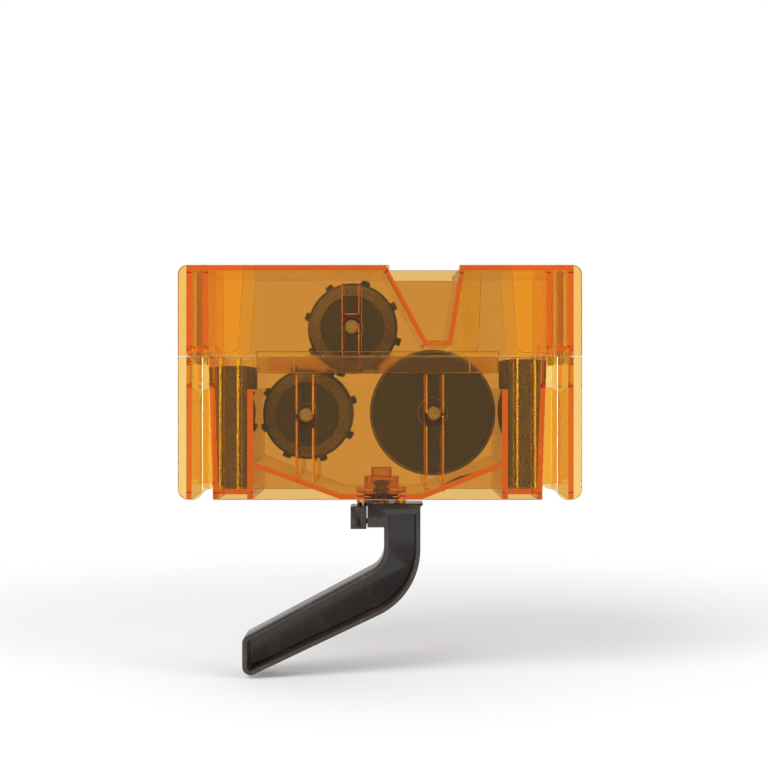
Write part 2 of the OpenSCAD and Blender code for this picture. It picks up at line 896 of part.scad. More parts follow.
module thumb_catch() {
    half = catch_t / 2;
    color(black)
        difference() {
            union() {
                translate([catch_left_x, -half, catch_bottom_z])
                    cube([catch_w, catch_t, catch_h]);
                translate([socket_x - (socket_r + socket_out_r) / 2, 0, catch_top_z - over])
                    cylinder(h = catch_drop + over, r = pip_r);
            }
            translate([catch_left_x + catch_wall, -tongue_half - catch_gap, catch_bottom_z + catch_wall])
                cube([catch_w, 2 * (tongue_half + catch_gap), catch_h - 2 * catch_wall]);
            translate([catch_mid_x - recess_w / 2, -half - over, (catch_top_z + catch_bottom_z - recess_h) / 2])
                cube([recess_w, recess_d + over, recess_h]);
        }
}

// The catch's coil spring, one unbroken tube swept along a helix
module catch_spring() {
    rise = spring_high_z - spring_low_z;
    n = spring_turns * spring_steps;
    function ring(i) = [
        for (k = [0:spring_sides - 1])
            let (a = 360 / spring_sides * k, turn = 360 / spring_steps * i)
            [
                (spring_r + spring_wire / 2 * cos(a)) * cos(turn),
                (spring_r + spring_wire / 2 * cos(a)) * sin(turn),
                rise * i / n + spring_wire / 2 * sin(a)
            ]
    ];
    function middle(i) =
        let (turn = 360 / spring_steps * i) [spring_r * cos(turn), spring_r * sin(turn), rise * i / n];
    half_turn = spring_steps / 2;
    gaps = [for (i = [0:n - half_turn]) for (j = [i + half_turn:n]) norm(middle(i) - middle(j)) - spring_wire];
    echo(least_gap_of_spring = min(gaps));
    points = [for (i = [0:n]) each ring(i)];
    sides = [
        for (i = [0:n - 1]) for (k = [0:spring_sides - 1])
            let (a = i * spring_sides + k, b = i * spring_sides + (k + 1) % spring_sides)
            each [[a, b, b + spring_sides], [a, b + spring_sides, a + spring_sides]]
    ];
    caps = [
        [for (k = [spring_sides - 1:-1:0]) k],
        [for (k = [0:spring_sides - 1]) n * spring_sides + k]
    ];
    color(steel)
        translate([catch_mid_x, 0, spring_low_z])
            polyhedron(points = points, faces = concat(sides, caps));
}

tank();
lid();
cheek(upper_x, upper_z, -1);  // upper_front_cheek
cheek(upper_x, upper_z, 1);  // upper_rear_cheek
tufted_core(upper_x, upper_z, upper_turn);  // upper_bristles
axle(upper_x, upper_z, axle_r, 0);  // upper_axle
cheek(lower_x, lower_z, -1);  // lower_front_cheek
cheek(lower_x, lower_z, 1);  // lower_rear_cheek
tufted_core(lower_x, lower_z, lower_turn);  // lower_bristles
axle(lower_x, lower_z, axle_r, 0);  // lower_axle
large_disc(-1);  // large_front_disc
large_disc(1);  // large_rear_disc
disc_bristles(-1);  // large_front_bristles
disc_bristles(1);  // large_rear_bristles
axle(large_x, large_z, large_core_r, large_half - disc_t - backing_t);  // large_axle
sponge(left_end_x, left_part_x - partition_t, left_sponge_top);  // left_sponge
sponge(right_end_x, right_part_x + partition_t, right_sponge_top);  // right_sponge
handle();
thumb_catch();
catch_spring();
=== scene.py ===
"""Looks of a bicycle chain cleaner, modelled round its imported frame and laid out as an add-on."""

import json
import math

import bmesh
import bpy
from bpy.props import FloatProperty, FloatVectorProperty, IntProperty, PointerProperty
from mathutils import Matrix, Vector, noise
from mathutils.bvhtree import BVHTree
from mathutils.kdtree import KDTree


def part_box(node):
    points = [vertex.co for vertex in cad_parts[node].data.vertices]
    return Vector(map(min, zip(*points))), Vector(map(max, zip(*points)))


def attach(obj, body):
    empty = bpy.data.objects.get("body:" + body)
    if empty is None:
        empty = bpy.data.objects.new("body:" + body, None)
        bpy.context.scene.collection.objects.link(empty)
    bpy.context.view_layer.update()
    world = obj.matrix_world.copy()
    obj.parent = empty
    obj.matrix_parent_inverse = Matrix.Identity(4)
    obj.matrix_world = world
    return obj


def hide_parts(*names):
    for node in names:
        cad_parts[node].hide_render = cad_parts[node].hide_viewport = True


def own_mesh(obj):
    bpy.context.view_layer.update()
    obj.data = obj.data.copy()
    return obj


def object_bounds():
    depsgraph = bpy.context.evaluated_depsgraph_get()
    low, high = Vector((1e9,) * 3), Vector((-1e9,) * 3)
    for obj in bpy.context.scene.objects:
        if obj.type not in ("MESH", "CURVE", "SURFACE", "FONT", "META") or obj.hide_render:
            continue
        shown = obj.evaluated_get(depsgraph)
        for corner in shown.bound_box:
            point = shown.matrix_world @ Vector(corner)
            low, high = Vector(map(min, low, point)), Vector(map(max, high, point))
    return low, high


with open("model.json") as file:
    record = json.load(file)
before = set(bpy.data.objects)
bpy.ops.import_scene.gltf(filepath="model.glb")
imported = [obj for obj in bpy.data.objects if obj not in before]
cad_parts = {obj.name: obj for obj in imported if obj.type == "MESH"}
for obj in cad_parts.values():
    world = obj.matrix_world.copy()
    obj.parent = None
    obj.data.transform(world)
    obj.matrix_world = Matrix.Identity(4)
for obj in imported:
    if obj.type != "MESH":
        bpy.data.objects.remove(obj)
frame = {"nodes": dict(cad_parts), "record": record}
CAD_BOX = [list(corner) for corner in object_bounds()]

bl_info = {
    "name": "Chain cleaner",
    "version": (1, 0, 0),
    "blender": (4, 5, 0),
    "location": "View3D > Sidebar > Cleaner",
    "description": "Dresses the packed chain cleaner with its plastics, bristles and foam",
    "category": "Object",
}

MM = 0.001
JOINTS = {joint["name"]: joint for joint in frame["record"]["behaviour"]["joints"]}
# Half the width of the soft step between two finishes
SOFT = 0.2 * MM
WHITE = (1.0, 1.0, 1.0, 1.0)


# Settings that a user would change

def colour(name, description, default):
    """A colour property."""
    return FloatVectorProperty(name=name, description=description, default=default,
                               subtype="COLOR", size=3, min=0.0, max=1.0)


def number(name, description, default, **limits):
    """A number property that isn't negative."""
    return FloatProperty(name=name, description=description, default=default, min=0.0, **limits)


def length(name, description, default_mm):
    """A length property, with its default in millimetres."""
    return number(name, description, default_mm * MM, unit="LENGTH", subtype="DISTANCE")


def degrees(name, description, default):
    """An angle property, with its default in degrees."""
    return FloatProperty(name=name, description=description, default=math.radians(default), subtype="ANGLE")


class ShellSettings(bpy.types.PropertyGroup):
    """Clear amber plastic of the tank and the lid."""
    face: colour("Face", "Colour that a wall seen square on lends to what is behind it", (0.785, 0.525, 0.53))
    # Panel and chamber are lighter tints of the same plastic: painted light where those ends look brighter
    panel: colour("Panel", "The same for the panelled ends of the lid", (0.92, 0.59, 0.44))
    lit_chamber: colour("Chamber", "The same for the tank's end chambers", (0.93, 0.68, 0.68))
    # Pale is the colour of the frosted faces, and the painted highlight on chamfers and skirt ridges
    frost_and_highlight: colour("Pale", "The same for frosted faces and chamfers", (0.98, 0.86, 0.74))
    deep: colour("Deep", "Colour that the plastic keeps along its edges", (0.995, 0.952, 0.016))
    gleam: number("Gleam", "Share of light that chamfers throw back", 0.3, max=1.0)
    depth: number("Depth", "How fast the plastic takes up light, per metre", 610.0)
    edge: length("Edge", "Width of the chamfer on moulded edges", 0.25)


class WheelSettings(bpy.types.PropertyGroup):
    """Brush wheels and their axles."""
    plastic: colour("Plastic", "Colour of the cheeks and discs", (0.038, 0.035, 0.040))
    # Its rings are painted highlights on the wheels' bevels
    bevel_highlight: colour("Frost", "Colour of the frosted rings on the wheels", (0.44, 0.42, 0.46))
    bristle: colour("Bristle", "Colour of the bristles", (0.035, 0.029, 0.025))
    axle: colour("Axle", "Colour of the axles", (0.60, 0.66, 0.74))
    round_edge: length("Edge", "Radius of the turned edges", 0.3)
    steps: IntProperty(name="Steps", description="Steps round a wheel", default=144, min=24, max=512)
    upper_turn: degrees("Upper turn", "Turn of the upper wheel's tufts at rest", 15.5)
    lower_turn: degrees("Lower turn", "Turn of the lower wheel's tufts at rest", 27.5)
    tuft_strands: IntProperty(name="Strands", description="Strands in a tuft", default=16, min=1)
    strand: length("Strand", "Radius of a strand at its root", 0.16)


class SpongeSettings(bpy.types.PropertyGroup):
    """Foam blocks that wipe the chain."""
    foam: colour("Foam", "Colour of the foam", (0.33, 0.34, 0.36))
    pore: length("Pore", "Size of the pores", 0.9)
    grain: length("Grain", "How far the cut surface is uneven", 0.3)


class HandleSettings(bpy.types.PropertyGroup):
    """Black handle and its thumb catch."""
    black: colour("Black", "Colour of the moulded handle", (0.030, 0.0215, 0.017))
    edge: length("Edge", "Radius of the handle's edges", 0.8)


class StageSettings(bpy.types.PropertyGroup):
    """Floor, lamps and camera."""
    floor: colour("Floor", "Colour of the floor", (0.86, 0.86, 0.87))
    floor_radius: length("Floor radius", "Radius of the floor", 420.0)
    camera_distance: length("Distance", "Distance of the camera from the box's front", 500.0)
    camera_x: length("Across", "Place of the camera along the chain", 1.5)
    camera_drop: length("Drop", "How far the camera is below the chain", 6.1)
    picture_width: length("Picture width", "Width that the picture shows at the box's front", 284.0)
    key: number("Key", "Power of the key lamp in watts", 7.0)
    fill: number("Fill", "Power of the fill lamp in watts", 3.0)
    side: number("Side", "Power of each side lamp in watts", 3.0)
    sky: number("Sky", "Strength of the white surroundings", 0.65)
    front: number("Front", "Share of the surroundings' light on the camera's side", 0.55, max=1.0)


# Node trees written as Python expressions

NOISE_SPAN = (0.3, 0.7)


def operator(operation, reflected=False):
    """A method that stands for a Python operator and adds its Math node."""
    def method(self, *other):
        return self.maths(operation, *((*other, self) if reflected else (self, *other)))
    return method


class Wire:
    """A socket that Python maths can be written with, in a shader or a geometry tree."""

    def __init__(self, tree, socket):
        self.tree = tree
        self.socket = socket

    def maths(self, operation, *values):
        """A Math node on this tree."""
        return self.tree.node("ShaderNodeMath", dict(enumerate(values)), operation=operation)[0]

    __add__ = operator("ADD")
    __radd__ = operator("ADD", reflected=True)
    __sub__ = operator("SUBTRACT")
    __rsub__ = operator("SUBTRACT", reflected=True)
    __mul__ = operator("MULTIPLY")
    __rmul__ = operator("MULTIPLY", reflected=True)
    __truediv__ = operator("DIVIDE")
    __mod__ = operator("MODULO")
    __pow__ = operator("POWER")
    floor = operator("FLOOR")
    sin = operator("SINE")
    cos = operator("COSINE")
    size = operator("ABSOLUTE")
    least = operator("MINIMUM")


class Outputs:
    """The outputs of a node that was just made, by name or by number."""

    def __init__(self, tree, made):
        self.tree = tree
        self.made = made

    def __getitem__(self, name):
        return Wire(self.tree, self.made.outputs[name])


class Tree:
    """A node tree with one way to make a node."""

    def __init__(self, tree):
        self.tree = tree

    def node(self, kind, sockets=None, **settings):
        """Makes a node: its settings first, then the values or links of its sockets."""
        made = self.tree.nodes.new(kind)
        for name, value in settings.items():
            setattr(made, name, value)
        for name, value in (sockets or {}).items():
            if isinstance(value, Wire):
                self.tree.links.new(value.socket, made.inputs[name])
            else:
                made.inputs[name].default_value = value
        return Outputs(self, made)

    def mix(self, factor, low, high):
        """A colour between low and high."""
        return self.node("ShaderNodeMix", {0: factor, 6: low, 7: high}, data_type="RGBA")[2]

    def between(self, value, low, high, to_low=0.0, to_high=1.0):
        """value mapped from low..high to to_low..to_high, held at both ends."""
        sockets = {0: value, 1: low, 2: high, 3: to_low, 4: to_high}
        return self.node("ShaderNodeMapRange", sockets, interpolation_type="SMOOTHSTEP")[0]

    def above(self, value, limit, soft=SOFT):
        """0 below a limit and 1 above it, with a soft step."""
        return self.between(value, limit - soft, limit + soft)

    def within(self, value, low, high, soft=SOFT):
        """1 between two limits and 0 outside them, with soft steps."""
        return self.above(value, low, soft) * (1.0 - self.above(value, high, soft))

    def noise(self, place, size, detail, roughness=0.5):
        """Noise with features of about that size in metres."""
        sockets = {"Vector": place, "Scale": 1.0 / size, "Detail": detail, "Roughness": roughness}
        return self.node("ShaderNodeTexNoise", sockets)["Fac"]

    def spread(self, noise, low, high):
        """A value from low to high, as noise goes through its usual span."""
        return self.between(noise, *NOISE_SPAN, low, high)

    def surface(self, sockets):
        """A Principled shader as a material's surface."""
        return {"Surface": self.node("ShaderNodeBsdfPrincipled", sockets)["BSDF"]}

    def bump(self, height, distance, strength):
        """A normal bent by height, which stands distance metres high."""
        sockets = {"Height": height, "Distance": distance, "Strength": strength}
        return self.node("ShaderNodeBump", sockets)["Normal"]


def rgba(value, factor=1.0):
    """A colour with full alpha, made darker or lighter by a factor."""
    return (*(min(1.0, part * factor) for part in value), 1.0)


def new_material(name, build):
    """The material of that name. build(tree) makes it the first time and gives its output's sockets."""
    made = bpy.data.materials.get(name)
    if made is None:
        made = bpy.data.materials.new(name)
        made.use_nodes = True
        made.node_tree.nodes.clear()
        tree = Tree(made.node_tree)
        tree.node("ShaderNodeOutputMaterial", build(tree))
    return made


def place_of(tree):
    """Object coordinates."""
    return tree.node("ShaderNodeTexCoord")["Object"]


# Finishes

AMBER_IOR = 1.54
# Where the lid's panels end, its skirt and snap arms are, and the tank's end chambers start
PANEL_LEFT = 50.6 * MM
PANEL_RIGHT = 48.9 * MM
PANEL_LEAN = 0.058
LID_TOP = 38.0 * MM
SKIRT_TOP = 5.6 * MM
SKIRT_OUT = 24.8 * MM
ARM_IN = 67.1 * MM
ARM_OUT = 69.3 * MM
ARM_NEAR = 10.3 * MM
ARM_FAR = 19.7 * MM
CHAMBER_IN = 61.8 * MM
# How much the skirt is frosted, how much the chamfers are painted paler as highlights, and what frosting adds
# to the roughness
SKIRT_FROST = 0.6
CHAMFER_HIGHLIGHT = 0.8
FROST_ROUGH = 0.3


def lid_zones(tree, x, y, z):
    """Where the lid is panelled, which takes a lighter tint as painted light, and where it is frosted: its
    skirt and its snap arms.
    """
    fall = (LID_TOP - z) * PANEL_LEAN
    panel = tree.above(0.0 - x - fall, PANEL_LEFT) + tree.above(x - fall, PANEL_RIGHT)
    skirt = (1.0 - tree.above(z, SKIRT_TOP)) * (1.0 - tree.above(y.size(), SKIRT_OUT))
    arm = tree.within(x.size(), ARM_IN, ARM_OUT) * tree.within(y.size(), ARM_NEAR, ARM_FAR)
    return panel, skirt * SKIRT_FROST + arm


def tank_zones(tree, x, y, z):
    """Where the tank's thin end chambers are, which take a lighter tint as painted light; nothing of it is
    frosted.
    """
    return tree.above(x.size(), CHAMBER_IN), 0.0


def amber_plastic(settings, node, full, zones):
    """Clear amber plastic, with a lighter tint as painted light in one zone, frosted in another, and painted
    highlights on its chamfers, which are paler and partly metallic.
    """
    def build(tree):
        place = place_of(tree)
        split = tree.node("ShaderNodeSeparateXYZ", {0: place})
        zone, frosted = zones(tree, split[0], split[1], split[2])
        chamfers = tree.node("ShaderNodeAttribute", attribute_name=CHAMFER_MARK)["Fac"]
        # Frosted faces and chamfers turn pale and rough; on the chamfers the pale colour and the metallic
        # gleam are painted highlights
        matt = chamfers * CHAMFER_HIGHLIGHT + frosted
        # In its zone the plastic takes a lighter tint of itself: painted light
        base = tree.mix(zone, rgba(settings.face), rgba(full))
        base = tree.mix(matt, base, rgba(settings.frost_and_highlight))
        ripple = tree.noise(place, size=22 * MM, detail=1.0)
        haze = tree.noise(place, size=3 * MM, detail=4.0)
        rub = tree.between(tree.noise(place, size=9 * MM, detail=5.0, roughness=0.7), 0.56, 0.74)
        rough = tree.between(haze, 0.35, 0.75, 0.012, 0.035) + rub * 0.05
        surface = tree.surface({
            "Base Color": base,
            "Metallic": chamfers * settings.gleam,
            "Roughness": rough + matt * FROST_ROUGH,
            "IOR": AMBER_IOR,
            "Transmission Weight": 1.0,
            "Normal": tree.bump(ripple, 0.06 * MM, 0.35),
        })
        deep = {"Color": rgba(settings.deep), "Density": settings.depth}
        return {**surface, "Volume": tree.node("ShaderNodeVolumeAbsorption", deep)["Volume"]}
    return new_material("amber_" + node, build)


def axis_of(wheel):
    """Where a wheel's axis lies along X and Z."""
    pos = JOINTS[wheel + "_wheel_spin"]["pos_m"]
    return pos[0], pos[2]


def from_axis(tree, place, wheel):
    """Distance of a place from a wheel's axis."""
    split = tree.node("ShaderNodeSeparateXYZ", {0: place})
    axis = axis_of(wheel)
    x = split[0] - axis[0]
    z = split[2] - axis[1]
    return (x * x + z * z) ** 0.5


HUB_LINE = 0.2 * MM
RING_SOFT = 0.25 * MM
LATHE_PITCH = 0.55 * MM


def wheel_plastic(settings, wheel, hub, ring_low, ring_high):
    """Dark brown moulded plastic with faint scuffs, a patchy painted highlight ring on the bevel and a fine
    painted highlight line round the hub.
    """
    def build(tree):
        place = place_of(tree)
        radius = from_axis(tree, place, wheel)
        # Painted highlights: a lighter ring on the bevel, where it catches light, and a fine line round the
        # hub
        ring = tree.within(radius, ring_low, ring_high, RING_SOFT)
        line = tree.within(radius, hub - HUB_LINE, hub + HUB_LINE)
        cloud = tree.noise(place, size=7 * MM, detail=4.0, roughness=0.6)
        scuff = tree.between(tree.noise(place, size=2.2 * MM, detail=6.0, roughness=0.72), 0.58, 0.72)
        dark = rgba(settings.plastic, 0.78)
        light = rgba(settings.plastic, 1.25)
        worn = rgba(settings.plastic, 2.2)
        # Noise makes the painted highlight ring patchy
        highlight_patches = tree.between(tree.noise(place, size=1.1 * MM, detail=5.0, roughness=0.7), 0.38, 0.66)
        base = tree.mix(scuff * 0.3, tree.mix(cloud, dark, light), worn)
        base = tree.mix(ring * (0.4 + 0.3 * highlight_patches) + line * 0.6, base, rgba(settings.bevel_highlight))
        turned = (radius * (2 * math.pi / LATHE_PITCH)).sin()
        grain = tree.noise(place, size=0.5 * MM, detail=2.0) + turned * 0.12
        return tree.surface({
            "Base Color": base,
            "Roughness": tree.spread(cloud, 0.30, 0.44) + scuff * 0.1 + ring * 0.12,
            "IOR": 1.5,
            "Normal": tree.bump(grain, 0.03 * MM, 0.6),
        })
    return new_material(wheel + "_wheel_plastic", build)


def bristle_nylon(settings):
    """Stiff nylon strands, lighter towards some tips."""
    def build(tree):
        patch = tree.noise(place_of(tree), size=1.3 * MM, detail=2.0)
        return tree.surface({
            "Base Color": tree.mix(patch, rgba(settings.bristle, 0.7), rgba(settings.bristle, 2.0)),
            "Roughness": tree.spread(patch, 0.34, 0.5),
            "IOR": 1.53,
        })
    return new_material("bristle_nylon", build)


def axle_plastic(settings):
    """Pale grey plastic of the axles."""
    def build(tree):
        cloud = tree.noise(place_of(tree), size=1.8 * MM, detail=4.0, roughness=0.6)
        return tree.surface({
            "Base Color": tree.mix(cloud, rgba(settings.axle, 0.8), rgba(settings.axle, 1.1)),
            "Roughness": tree.spread(cloud, 0.26, 0.4),
            "IOR": 1.5,
            "Normal": tree.bump(cloud, 0.02 * MM, 0.4),
        })
    return new_material("axle_plastic", build)


def open_foam(settings):
    """Open-cell foam, with painted shade darkening its pores."""
    def build(tree):
        place = place_of(tree)

        def pits(scale, low, high):
            cell = {"Vector": place, "Scale": scale}
            walls = tree.node("ShaderNodeTexVoronoi", cell, feature="DISTANCE_TO_EDGE")["Distance"]
            return tree.between(walls, low, high)

        pit = pits(1.0 / settings.pore, 0.03, 0.3)
        small_pit = pits(2.6 / settings.pore, 0.04, 0.35)
        cloud = tree.noise(place, size=6 * MM, detail=4.0, roughness=0.6)
        light = tree.mix(cloud, rgba(settings.foam, 0.85), rgba(settings.foam, 1.3))
        # Painted shade: the sunken centres of the pores are darker
        dark = rgba(settings.foam, 0.38)
        height = 1.0 - pit * 0.7 - small_pit * 0.3
        return tree.surface({
            "Base Color": tree.mix(pit * 0.55 + small_pit * 0.3, light, dark),
            "Roughness": 0.9,
            "Sheen Weight": 0.15,
            "Normal": tree.bump(height, 0.35 * MM, 0.9),
        })
    return new_material("open_foam", build)


def black_plastic(settings):
    """Glossy black plastic with rub marks and a faint orange peel."""
    def build(tree):
        place = place_of(tree)
        peel = tree.noise(place, size=2.4 * MM, detail=2.0)
        rub = tree.between(tree.noise(place, size=11 * MM, detail=6.0, roughness=0.7), 0.52, 0.72)
        drawn_out = {"Vector": place, "Rotation": (0.0, 0.5, 0.0), "Scale": (1.0, 1.0, 9.0)}
        scratch = tree.node("ShaderNodeMapping", drawn_out)["Vector"]
        lines = tree.between(tree.noise(scratch, size=6 * MM, detail=7.0, roughness=0.75), 0.60, 0.70)
        return tree.surface({
            "Base Color": tree.mix(rub, rgba(settings.black), rgba(settings.black, 1.9)),
            "Roughness": tree.spread(peel, 0.14, 0.2) + rub * 0.12 + lines * 0.1,
            "IOR": 1.52,
            "Normal": tree.bump(peel, 0.03 * MM, 0.5),
        })
    return new_material("gloss_black", build)


STEEL_DARK = (0.5, 0.5, 0.52, 1.0)
STEEL_LIGHT = (0.7, 0.7, 0.71, 1.0)


def spring_steel():
    """Bright spring wire."""
    def build(tree):
        drawn = tree.noise(place_of(tree), size=0.3 * MM, detail=2.0)
        return tree.surface({
            "Base Color": tree.mix(drawn, STEEL_DARK, STEEL_LIGHT),
            "Metallic": 1.0,
            "Roughness": tree.spread(drawn, 0.2, 0.35),
        })
    return new_material("spring_wire", build)


# Meshes

# Corners nearer than this are one, and faces turned less than this lie in one plane
SAME_PLACE = 0.002 * MM
SAME_PLANE = math.radians(0.6)
SHARP_EDGE = math.radians(40)


def add_object(name, data):
    """A new object at the origin."""
    made = bpy.data.objects.new(name, data)
    bpy.context.scene.collection.objects.link(made)
    return made


def add_mesh(name, mesh, finish):
    """A new object at the origin with that mesh and finish."""
    mesh.name = name
    mesh.materials.clear()
    mesh.materials.append(finish)
    return add_object(name, mesh)


def mesh_from(bm):
    """A mesh made from a bmesh, which is freed."""
    mesh = bpy.data.meshes.new("mesh")
    bm.to_mesh(mesh)
    bm.free()
    return mesh


def smooth_but_sharp(mesh, angle=35.0):
    """Smooth shading that keeps edges over an angle in degrees crisp."""
    mesh.shade_smooth()
    mesh.set_sharp_from_angle(angle=math.radians(angle))


def cad_copy(node):
    """A CAD node's mesh with its corners merged and its flat faces made whole."""
    bm = bmesh.new()
    bm.from_mesh(frame["nodes"][node].data)
    bmesh.ops.remove_doubles(bm, verts=bm.verts, dist=SAME_PLACE)
    bmesh.ops.dissolve_limit(bm, angle_limit=SAME_PLANE, verts=bm.verts, edges=bm.edges, delimit={"NORMAL"})
    return bm


def final_mesh(obj):
    """A plain mesh of what obj's curve or modifiers give."""
    bpy.context.view_layer.update()
    graph = bpy.context.evaluated_depsgraph_get()
    return bpy.data.meshes.new_from_object(obj.evaluated_get(graph))


def apply_modifiers(obj):
    """Makes what obj's modifiers give its own mesh."""
    mesh = final_mesh(obj)
    obj.modifiers.clear()
    mesh.name = obj.name
    obj.data = mesh


def face_depth(face, edge):
    """How far a face reaches from the line of one of its edges."""
    start = edge.verts[0].co
    way = (edge.verts[1].co - start).normalized()
    return max(((vert.co - start) - way * (vert.co - start).dot(way)).length for vert in face.verts)


# Edges that turn within these angles are chamfered, where the faces are this many widths deep
LEAST_TURN = math.radians(35)
MOST_TURN = math.radians(130)
ROOM_NEEDED = 2.2


def moulded_edges(bm, width):
    """The outward edges that have room for a chamfer of that width on both sides."""
    chosen = []
    for edge in bm.edges:
        turn = edge.calc_face_angle_signed(0.0) if len(edge.link_faces) == 2 else 0.0
        if LEAST_TURN < turn < MOST_TURN:
            if min(face_depth(face, edge) for face in edge.link_faces) > ROOM_NEEDED * width:
                chosen.append(edge)
    return chosen


CHAMFER_MARK = "chamfer"
CHAMFER_TRIES = 12
# How far round a crossing no edge is chamfered, in widths
CROSSING_REACH = 3
RIB_LEAST = 5 * MM
RIB_LEAN = 0.1
RIB_SLANT = 0.06


def on_rib_edge(face):
    """Whether a face is the long chamfer of an upright rib."""
    way = face.normal
    heights = [vert.co.z for vert in face.verts]
    upright = abs(way.z) < RIB_LEAN and abs(abs(way.x) - abs(way.y)) < RIB_SLANT
    return upright and max(heights) - min(heights) > RIB_LEAST


def crossings_of(bm):
    """The corners of each pair of faces that cut through each other and share no corner."""
    tree = BVHTree.FromBMesh(bm, epsilon=0.0)
    bm.faces.ensure_lookup_table()
    found = []
    for first, second in tree.overlap(tree):
        if first < second and not set(bm.faces[first].verts) & set(bm.faces[second].verts):
            found.append(bm.faces[first].verts[:] + bm.faces[second].verts[:])
    return found


def chamfered(bm, width):
    """bm with its moulded edges chamfered, apart from those whose chamfers would cut into each other."""
    chosen = moulded_edges(bm, width)
    left_out = set()
    for _ in range(CHAMFER_TRIES):
        keep = [edge.index for edge in chosen if edge.index not in left_out]
        copy = bm.copy()
        mark = copy.faces.layers.float.new(CHAMFER_MARK)
        copy.edges.ensure_lookup_table()
        strips = bmesh.ops.bevel(copy, geom=[copy.edges[i] for i in keep], offset=width,
                                 offset_type="OFFSET", segments=1, profile=0.5, affect="EDGES",
                                 clamp_overlap=False, miter_outer="PATCH", material=-1)["faces"]
        # The chamfer mark paints the chamfers and the ribs' long edges paler, as highlight lines
        for face in strips + [face for face in copy.faces if on_rib_edge(face)]:
            face[mark] = 1.0
        crossings = crossings_of(copy)
        if not crossings:
            break
        near = KDTree(2 * len(keep))
        for i in keep:
            for vert in bm.edges[i].verts:
                near.insert(vert.co, i)
        near.balance()
        for corners in crossings:
            for vert in corners:
                for _, i, _ in near.find_range(vert.co, CROSSING_REACH * width):
                    left_out.add(i)
        copy.free()
    else:
        raise RuntimeError("the chamfers still cut into each other")
    return copy


FLAT_AREA = 4 * MM * MM
SHELL_CRISP = 25.0
BLEND_COS = math.cos(math.radians(SHELL_CRISP))


def keep_flats_flat(mesh):
    """Shades each large face flat, and small ones smooth with the faces that turn little from them."""
    around = [[] for _ in mesh.vertices]
    for face in mesh.polygons:
        for vert in face.vertices:
            around[vert].append(face)
    normals = []
    for face in mesh.polygons:
        for vert in face.vertices:
            total = Vector(face.normal)
            if face.area < FLAT_AREA:
                near = [other for other in around[vert] if other.normal.dot(face.normal) > BLEND_COS]
                total = sum((other.normal * other.area for other in near), Vector()) or total
            normals.append(total.normalized())
    mesh.normals_split_custom_set(normals)


def soften(obj, width):
    """Rounds obj's sharp edges in two steps."""
    made = obj.modifiers.new("edge", "BEVEL")
    made.width = width
    made.segments = 2
    made.limit_method = "ANGLE"
    made.angle_limit = SHARP_EDGE
    made.miter_outer = "MITER_ARC"
    apply_modifiers(obj)


# Radii below this lie on the axis, and corners over this angle stay as they are
ON_AXIS = 1e-7
STRAIGHT = math.radians(176)
# Steps of a rounded corner, and how much of an edge it may take up
CORNER_STEPS = 4
CORNER_SHARE = 0.45


def rounded(points, radius):
    """A closed outline with its corners rounded to that radius, or less where an edge is short."""
    outline = []
    count = len(points)
    for i in range(count):
        here = Vector(points[i])
        before = Vector(points[i - 1]) - here
        after = Vector(points[(i + 1) % count]) - here
        angle = before.angle(after)
        if here.x < ON_AXIS or angle > STRAIGHT:
            outline.append(tuple(here))
            continue
        most = CORNER_SHARE * min(before.length, after.length)
        back = min(radius / math.tan(angle / 2), most)
        start = here + before.normalized() * back
        end = here + after.normalized() * back
        for step in range(CORNER_STEPS + 1):
            t = step / CORNER_STEPS
            point = start * (1 - t) ** 2 + here * (2 * t * (1 - t)) + end * t ** 2
            outline.append(tuple(point))
    return outline


def lathe(outline, x, z, steps):
    """A bmesh turned about the line along Y through x and z, from radii and places along Y."""
    bm = bmesh.new()
    rings = []
    for radius, y in outline:
        if radius < ON_AXIS:
            rings.append([bm.verts.new((x, y, z))])
            continue
        ring = []
        for step in range(steps):
            turn = 2 * math.pi * step / steps
            ring.append(bm.verts.new((x + radius * math.cos(turn), y, z + radius * math.sin(turn))))
        rings.append(ring)
    for i, ring in enumerate(rings):
        after = rings[(i + 1) % len(rings)]
        if len(ring) == 1 and len(after) == 1:
            continue
        for step in range(steps):
            nxt = (step + 1) % steps
            if len(ring) == 1:
                bm.faces.new((ring[0], after[step], after[nxt]))
            elif len(after) == 1:
                bm.faces.new((ring[step], after[0], ring[nxt]))
            else:
                bm.faces.new((ring[step], after[step], after[nxt], ring[nxt]))
    bmesh.ops.recalc_face_normals(bm, faces=bm.faces)
    return bm


def turned_piece(name, outline, wheel, finish, settings, way=1):
    """A piece turned about a wheel's axis, with soft edges. way -1 mirrors its places along Y."""
    outline = rounded([(radius, way * y) for radius, y in outline], settings.round_edge)
    mesh = mesh_from(lathe(outline, *axis_of(wheel), settings.steps))
    smooth_but_sharp(mesh)
    return add_mesh(name, mesh, finish)


def dress(obj, body, slot, *nodes):
    """obj rides on a body and stands for CAD nodes."""
    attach(obj, body)
    if nodes:
        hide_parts(*nodes)


def join_meshes(objects, name):
    """One object from several, under a new name."""
    bm = bmesh.new()
    for obj in objects:
        bm.from_mesh(obj.data)
    mesh = mesh_from(bm)
    finish = objects[0].data.materials[0]
    for obj in objects:
        bpy.data.objects.remove(obj)
    smooth_but_sharp(mesh)
    return add_mesh(name, mesh, finish)


# Geometry trees for the bristles

STRAND_SIDES = 5
# Shares of a strand's root radius at its tip and of its length where it is shortest
STRAND_TIP = 0.62
SHORTEST = 0.93
# How far a strand leans out of its tuft's way, as a slope
LEAN = 0.05
# Tufts round a small wheel's core and along it, a tuft's radius and half the length that they cover
TUFT_ANGLES = 8
TUFT_ROWS = 7
TUFT_R = 1.35 * MM
TUFTS_HALF = 6.5 * MM - TUFT_R / 2
GOLDEN_ANGLE = math.radians(137.508)
SOCKET_KINDS = {int: "NodeSocketInt", float: "NodeSocketFloat", bpy.types.Material: "NodeSocketMaterial"}


